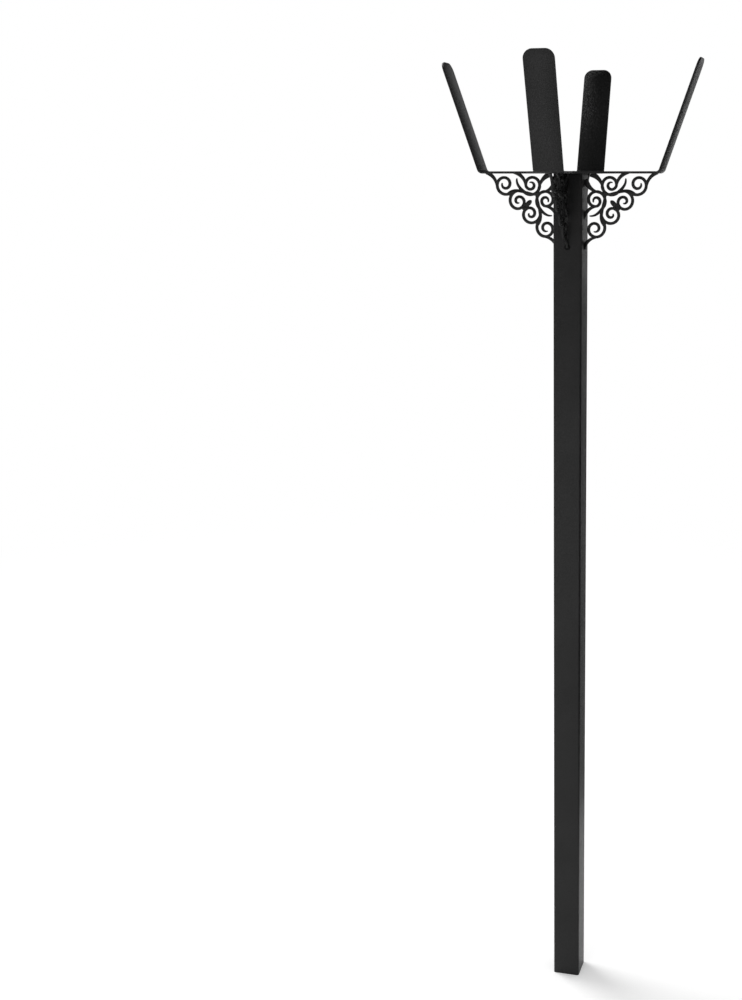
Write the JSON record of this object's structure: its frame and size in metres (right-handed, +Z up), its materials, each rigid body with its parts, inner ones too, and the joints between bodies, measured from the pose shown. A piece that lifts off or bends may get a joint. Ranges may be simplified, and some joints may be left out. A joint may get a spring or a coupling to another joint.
{
  "type": "post-top plant stand",
  "caption": "Square steel post to set in the ground, topped by a cradle of bent-up flat arms that holds a plant pot, braced by pierced scroll brackets and finished in satin black powder coat.",
  "frame": {"origin": "middle of the post's lower end, on the axis of the square tube", "axes": "+Z up along the post to the cradle, one arm along each of +X, -X, +Y and -Y; the front of the picture is -Y"},
  "size_m": [0.3528, 0.3528, 1.3642],
  "materials": {
    "black_powder_coat": "satin black powder coat with a fine texture, over the finished weldment"
  },
  "bodies": {
    "root": {"post_tube": "black_powder_coat", "cradle_plate": "black_powder_coat", "scroll_bracket_front": "black_powder_coat", "scroll_bracket_right": "black_powder_coat", "scroll_bracket_back": "black_powder_coat", "scroll_bracket_left": "black_powder_coat", "toe_weld_front": "black_powder_coat", "toe_weld_right": "black_powder_coat", "toe_weld_back": "black_powder_coat", "toe_weld_left": "black_powder_coat"}
  },
  "joints": []
}
